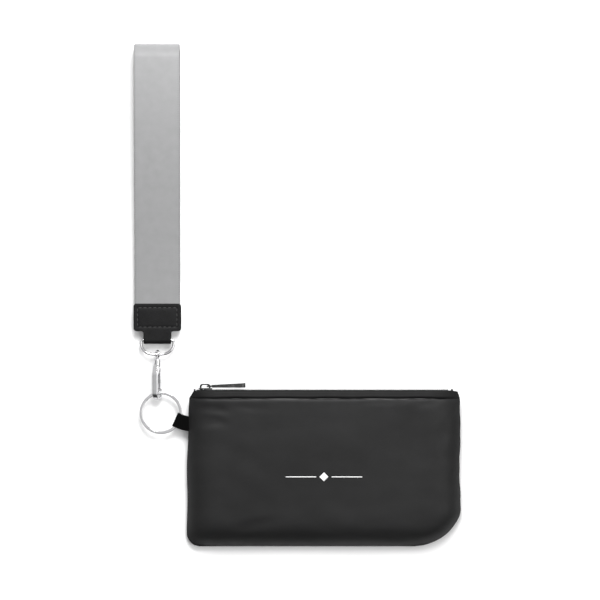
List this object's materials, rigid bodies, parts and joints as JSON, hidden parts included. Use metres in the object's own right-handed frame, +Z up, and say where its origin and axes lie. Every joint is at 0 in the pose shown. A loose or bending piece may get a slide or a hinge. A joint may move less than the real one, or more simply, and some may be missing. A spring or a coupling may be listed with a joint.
{
  "type": "zippered pouch",
  "caption": "Flat black cloth pouch with a zipper along its top edge and a grey webbing wrist strap clipped to a split ring at its side.",
  "frame": {"origin": "centre of the flat back that the pouch rests on", "axes": "+X across the pouch towards its right side seam, +Y from the bottom seam towards the zipper and along the wrist strap, +Z up out of the front panel"},
  "size_m": [0.2148, 0.3293, 0.0192],
  "materials": {
    "outer_cloth": "smooth coated weave with a soft sheen",
    "lining_cloth": "plain woven",
    "zipper_tape": "knitted tape",
    "zipper_coil": "satin",
    "zipper_metal": "black enamel",
    "ribbon": "ribbed ribbon",
    "hardware": "polished nickel plate",
    "spring_steel": "plain",
    "leather": "pebbled grain",
    "thread": "twisted thread",
    "webbing": "fine twill webbing"
  },
  "bodies": {
    "pouch": {"front_panel": "outer_cloth", "back_panel": "outer_cloth", "front_lining": "lining_cloth", "back_lining": "lining_cloth", "zipper_tape_front": "zipper_tape", "zipper_tape_back": "zipper_tape", "zipper_coil_front": "zipper_coil", "zipper_coil_back": "zipper_coil", "top_stops": "zipper_metal", "bottom_stop": "zipper_metal", "ribbon_loop": "ribbon"},
    "slider": {"slider_body": "zipper_metal"},
    "puller": {"puller": "zipper_metal"},
    "ring": {"split_ring": "hardware"},
    "hook": {"hook_body": "hardware", "gate_rivet": "hardware"},
    "gate": {"gate_lever": "hardware", "gate_spring": "spring_steel"},
    "eye": {"swivel_eye": "hardware"},
    "dring": {"d_ring": "hardware"},
    "strap": {"leather_tab": "leather", "tab_stitching": "thread", "wrist_strap": "webbing"}
  },
  "joints": [
    {"name": "slider_travel", "type": "slide", "parent": "pouch", "child": "slider", "axis": [1, 0, 0], "range_m": [0, 0.15]},
    {"name": "puller_swing", "type": "hinge", "parent": "slider", "child": "puller", "pos_m": [-0.0763, 0.0535, 0.0072], "axis": [0, 0, 1], "range_deg": [0, 120]},
    {"name": "ring_flip", "type": "hinge", "parent": "pouch", "child": "ring", "pos_m": [-0.09539, 0.03087, 0.005], "axis": [-0.4067, -0.9135, 0], "range_deg": [-85, 0]},
    {"name": "hook_swing", "type": "hinge", "parent": "ring", "child": "hook", "pos_m": [-0.1092, 0.04879, 0.005], "axis": [0.9842, 0.1769, 0], "range_deg": [0, 100]},
    {"name": "gate_open", "type": "hinge", "parent": "hook", "child": "gate", "pos_m": [-0.10855, 0.0642, 0.00354], "axis": [-0.9135, 0, -0.4067], "range_deg": [0, 15], "stiffness_Nm_per_rad": 0.02, "springref_deg": -11.46},
    {"name": "swivel_spin", "type": "hinge", "parent": "hook", "child": "eye", "pos_m": [-0.1092, 0.07444, 0.005], "axis": [0, 1, 0], "continuous": true},
    {"name": "dring_swing", "type": "hinge", "parent": "eye", "child": "dring", "pos_m": [-0.1092, 0.07444, 0.005], "axis": [1, 0, 0], "range_deg": [0, 75]},
    {"name": "tab_hinge", "type": "hinge", "parent": "dring", "child": "strap", "pos_m": [-0.1092, 0.0837, 0.005], "axis": [-1, 0, 0], "range_deg": [-90, 0]}
  ]
}
